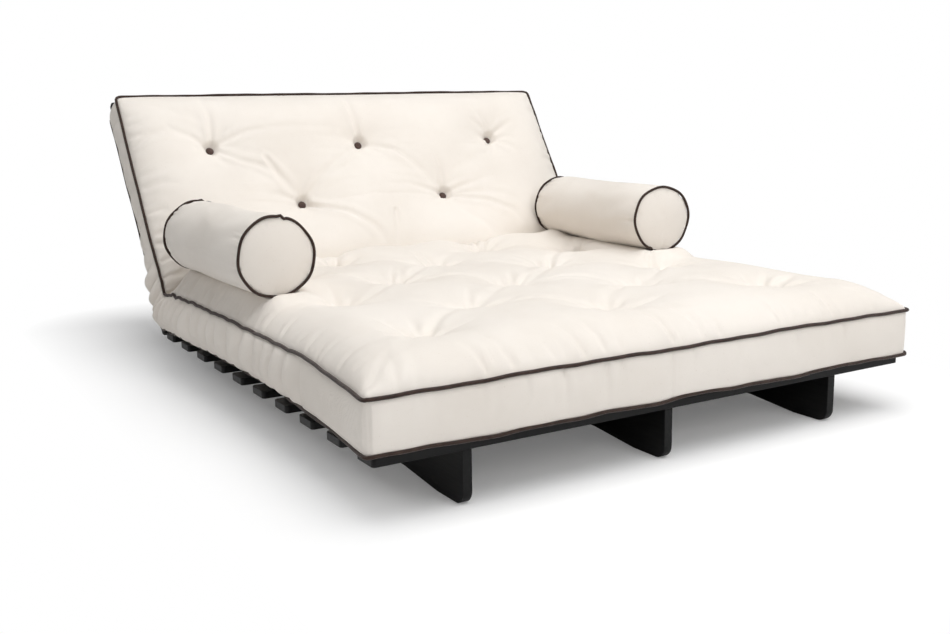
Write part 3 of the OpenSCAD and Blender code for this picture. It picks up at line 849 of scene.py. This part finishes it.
def make_buttons(name, tufts):
    """Domed covered buttons, one at the bottom of each tuft, with the cloth drawn under the rim."""
    shape = [(0, -0.0025), (0.0075, -0.0030), (0.0108, -0.0016), (0.0120, 0.0002), (0.0118, 0.0020),
             (0.0100, 0.0036), (0.0070, 0.0046), (0.0035, 0.0051), (0, 0.0053)]
    verts, faces = lathe(shape, 28)
    ring = np.hypot(verts[:, 0], verts[:, 1])
    turn = np.arctan2(verts[:, 1], verts[:, 0])
    all_verts, all_faces = [], []
    for n, (tx, tq, left) in enumerate(tufts):
        lean = float(lean_at(np.array(tq), FAN))
        v = verts.copy()
        v[:, 2] += 0.0004 * np.sin(9 * turn + n) * (ring / 0.012) ** 3
        v = v @ np.array(Matrix.Rotation(lean + rng.uniform(-0.12, 0.12), 3, "X")).T
        v = v @ np.array(Matrix.Rotation(rng.uniform(-0.10, 0.10), 3, "Y")).T
        at = futon_point(np.array([tx]), np.array([tq]), left + 0.0030)[0]
        base = sum(len(a) for a in all_verts)
        all_verts.append(v + at)
        all_faces += [tuple(base + i for i in f) for f in faces]
    return mesh_object(name, np.concatenate(all_verts), all_faces, [BUTTON])


futon = make_futon()
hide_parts("seat_futon", "back_futon")

upper_piping = make_piping("upper_piping", True)
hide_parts("seat_upper_piping", "back_upper_piping")
lower_piping = make_piping("lower_piping", False)
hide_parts("seat_lower_piping", "back_lower_piping")

for cover in (futon, upper_piping, lower_piping):
    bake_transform(cover)

seat_buttons = make_buttons("seat_button_set", SEAT_TUFTS)
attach(seat_buttons, "base")
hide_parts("seat_buttons")
back_buttons = make_buttons("back_button_set", BACK_TUFTS)
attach(back_buttons, "backrest")
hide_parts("back_buttons")
for buttons in (seat_buttons, back_buttons):
    round_off(buttons)


# ---- the bolsters ----

def make_bolster(node, body, seed, join):
    """A stuffed cotton roll lying along its axis, with a piping ring joined at angle join on each end."""
    mid, axis, length, radius = BOLSTERS[node]
    own = np.random.default_rng(seed)
    across = np.cross(axis, (0, 0, 1))
    across /= np.linalg.norm(across)
    up = np.cross(across, axis)
    around, sides = 120, 2 * math.pi * np.arange(120) / 120
    half = length / 2
    inset = 0.006
    ts = np.concatenate([np.linspace(-half + inset, -half + 0.06, 9),
                         np.linspace(-half + 0.06, half - 0.06, 34)[1:-1],
                         np.linspace(half - 0.06, half - inset, 9)])
    rings = []
    for f in np.linspace(0.06, 0.965, 12):
        rings.append((-half + inset - 0.013 * (1 - f ** 2.4), f))
    for t in ts:
        rings.append((t, 1.0))
    for f in np.linspace(0.965, 0.06, 12):
        rings.append((half - inset + 0.013 * (1 - f ** 2.4), f))
    t = np.array([r[0] for r in rings])[:, None] + 0 * sides
    f = np.array([r[1] for r in rings])[:, None] + 0 * sides
    a = sides[None, :] + 0 * t
    barrel = f > 0.999
    from_end = half - inset - np.abs(t)
    r = f * radius * (1 - 0.012)
    swell = 0.0035 * smooth(from_end / 0.05)
    lumps = (0.0026 * np.sin(2 * a + 9 * t + seed) * np.sin(11 * t + seed) + 0.0018 * np.sin(3 * a - 14 * t)
             + 0.0010 * np.sin(9 * a + 4 * t + 2 * np.sin(17 * t)) * np.sin(7 * t + a))
    gather = np.zeros_like(a)
    for _ in range(70):
        at, wide = own.uniform(0, 2 * math.pi), own.uniform(0.026, 0.052)
        long, deep = own.uniform(0.012, 0.045), own.uniform(0.0022, 0.0060)
        end = own.choice((-1, 1))
        off = np.angle(np.exp(1j * (a - at)))
        reach = half - inset - end * t
        gather -= deep * np.exp(-(off / wide) ** 2) * np.exp(-(reach / long) ** 2)
    r = np.where(barrel, r + swell + lumps * smooth(from_end / 0.03) + gather, r)
    pucker = np.zeros_like(a)
    for _ in range(26):
        at, wide = own.uniform(0, 2 * math.pi), own.uniform(0.03, 0.07)
        end = own.choice((-1, 1))
        off = np.angle(np.exp(1j * (a - at)))
        pucker -= own.uniform(0.0006, 0.0020) * np.exp(-(off / wide) ** 2) * (np.sign(t) == end)
    t = np.where(barrel, t, t + np.sign(t) * (pucker * smooth((f - 0.62) / 0.3)
                                              + 0.0040 * np.sin(2 * a + seed) * f * (1 - f)))
    vx, vz = r * np.cos(a), r * np.sin(a)
    low = -radius * 0.985
    vz = np.where(vz < low, low + (vz - low) * 0.30, vz)
    pts = (mid + t[..., None] * axis + vx[..., None] * across + vz[..., None] * up).reshape(-1, 3)
    n = len(rings)
    g = np.arange(n * around).reshape(n, around)
    b = np.roll(g, -1, 1)
    quads = np.stack([g[:-1], g[1:], b[1:], b[:-1]], -1).reshape(-1, 4)
    near, far = len(pts), len(pts) + 1
    caps = [mid + axis * (-half + inset - 0.0132), mid + axis * (half - inset + 0.0132)]
    faces = [tuple(face) for face in quads]
    faces += [(near, g[0, m], g[0, (m + 1) % around]) for m in range(around)]
    faces += [(far, g[-1, (m + 1) % around], g[-1, m]) for m in range(around)]
    roll = mesh_object(node + "_cover", np.vstack([pts, caps]), faces, [COTTON])
    round_off(roll)
    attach(roll, body)
    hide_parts(node)
    cords_v, cords_f = [], []
    for end in (-1, 1):
        w = (radius - 0.0010) * np.ones(around)
        w = w + 0.0012 * np.sin(3 * sides + seed + end) + 0.0007 * np.sin(8 * sides + 2 * seed)
        off = np.angle(np.exp(1j * (sides - join)))
        w = w + 0.0030 * np.exp(-(off / 0.05) ** 2) - 0.0030 * np.exp(-((off + 0.11) / 0.05) ** 2)
        deep = end * (half - 0.0045) + end * (0.0012 * np.sin(2 * sides + seed) + 0.0008 * np.sin(5 * sides))
        cz = w * np.sin(sides)
        cz = np.where(cz < low, low + (cz - low) * 0.35, cz)
        path = mid + deep[:, None] * axis + (w * np.cos(sides))[:, None] * across + cz[:, None] * up
        ahead = heading(path)
        out = path - (mid + axis * end * half)
        out -= (out * ahead).sum(1, keepdims=True) * ahead
        v, q = tube(path, unit(out), 0.9 * CORD_R)
        cords_f.append(q + sum(len(c) for c in cords_v))
        cords_v.append(v)
    cord = mesh_object(node + "_cord", np.concatenate(cords_v), np.concatenate(cords_f), [PIPING])
    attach(cord, body)
    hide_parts(node + "_piping")


make_bolster("bolster_left", "left_bolster", 3, 1.42)
make_bolster("bolster_right", "right_bolster", 7, -1.9)


# ---- studio ----

FLOOR_LIFT = 0.13              # how much the camera sees the floor lifted towards white
FADE_MID = (0.08, -0.04, 0)    # the floor keeps its own shade inside a box about this point
FADE_HALF = (0.62, 1.24, 0)    # with these half sizes
FADE = (0.02, 0.40)            # and is white from the second distance past that box


def make_floor():
    """A pale floor; to the camera it fades into the white background a short way from the sofa."""
    reach = 60.0
    floor = mesh_object("floor", [(-reach, -reach, 0), (reach, -reach, 0), (reach, reach, 0),
                                  (-reach, reach, 0)], [(0, 1, 2, 3)])
    n = Nodes("studio_floor")
    inside = n.add("ShaderNodeVectorMath", {0: n.place, 1: FADE_MID}, operation="SUBTRACT")
    sides = n.add("ShaderNodeVectorMath", {0: inside.outputs[0]}, operation="ABSOLUTE")
    past = n.add("ShaderNodeVectorMath", {0: sides.outputs[0], 1: FADE_HALF}, operation="SUBTRACT")
    beyond = n.add("ShaderNodeVectorMath", {0: past.outputs[0]}, operation="MAXIMUM")
    away = n.add("ShaderNodeVectorMath", {0: beyond.outputs[0]}, operation="LENGTH").outputs["Value"]
    far = n.add("ShaderNodeMapRange", {"Value": away, "From Min": FADE[0], "From Max": FADE[1]})
    n.use(Base_Color=(0.88, 0.88, 0.88, 1), Roughness=0.9, Specular_IOR_Level=0.1)
    glow = n.add("ShaderNodeEmission", {"Color": (1, 1, 1, 1), "Strength": 1.0})
    seen = n.add("ShaderNodeLightPath").outputs["Is Camera Ray"]
    fade = n.math("MULTIPLY", far.outputs[0], seen)
    lift = n.add("ShaderNodeEmission", {"Strength": n.math("MULTIPLY", seen, FLOOR_LIFT)})
    lit = n.add("ShaderNodeAddShader", {0: n.shader.outputs[0], 1: lift.outputs[0]})
    both = n.add("ShaderNodeMixShader", {"Fac": fade})
    n.tree.links.new(lit.outputs[0], both.inputs[1])
    n.tree.links.new(glow.outputs[0], both.inputs[2])
    n.tree.links.new(both.outputs[0], n.tree.nodes["Material Output"].inputs["Surface"])
    floor.data.materials.append(n.mat)


def area_light(name, at, towards, size, power):
    """A round soft light at a point, turned towards another."""
    data = bpy.data.lights.new(name, "AREA")
    data.shape, data.size, data.energy = "DISK", size, power
    light = bpy.data.objects.new(name, data)
    light.location = at
    light.rotation_euler = (Vector(towards) - Vector(at)).to_track_quat("-Z", "Y").to_euler()
    bpy.context.scene.collection.objects.link(light)


def make_world(light):
    """An even white surround; the camera sees it as plain white."""
    world = bpy.data.worlds.new("studio")
    world.use_nodes = True
    tree = world.node_tree
    fill = tree.nodes["Background"]
    fill.inputs["Strength"].default_value = light
    fill.inputs["Color"].default_value = (1, 1, 1, 1)
    seen = tree.nodes.new("ShaderNodeBackground")
    seen.inputs["Color"].default_value = (1, 1, 1, 1)
    path = tree.nodes.new("ShaderNodeLightPath")
    both = tree.nodes.new("ShaderNodeMixShader")
    tree.links.new(path.outputs["Is Camera Ray"], both.inputs["Fac"])
    tree.links.new(fill.outputs[0], both.inputs[1])
    tree.links.new(seen.outputs[0], both.inputs[2])
    tree.links.new(both.outputs[0], tree.nodes["World Output"].inputs["Surface"])
    bpy.context.scene.world = world


def make_camera():
    """Stands front left of the sofa, a little above the back's top edge, and looks slightly down."""
    yaw, pitch, roll = (math.radians(a) for a in (30.80, 11.28, 0.914))
    ahead = Vector((math.sin(yaw) * math.cos(pitch), math.cos(yaw) * math.cos(pitch), -math.sin(pitch)))
    right = Vector((math.cos(yaw), -math.sin(yaw), 0))
    down = ahead.cross(right)
    right, down = (right * math.cos(roll) + down * math.sin(roll),
                   down * math.cos(roll) - right * math.sin(roll))
    data = bpy.data.cameras.new("camera")
    data.sensor_width, data.lens = 36.0, 41.61
    camera = bpy.data.objects.new("camera", data)
    turn = Matrix((right, -down, -ahead)).transposed()
    camera.matrix_world = Matrix.Translation((-1.470, FRONT_Y - 1.666, 0.743)) @ turn.to_4x4()
    bpy.context.scene.collection.objects.link(camera)
    bpy.context.scene.camera = camera


make_floor()
area_light("overhead", (0.30, -1.15, 3.2), (0.1, -0.35, 0), 4.2, 118)
area_light("front", (0.6, -4.6, 2.4), (0, 0, 0.3), 2.8, 49)
area_light("left", (-3.6, 0.3, 1.9), (-0.6, 0, 0.3), 2.8, 12)
make_world(0.225)
make_camera()
bpy.context.scene.view_settings.view_transform = "Standard"
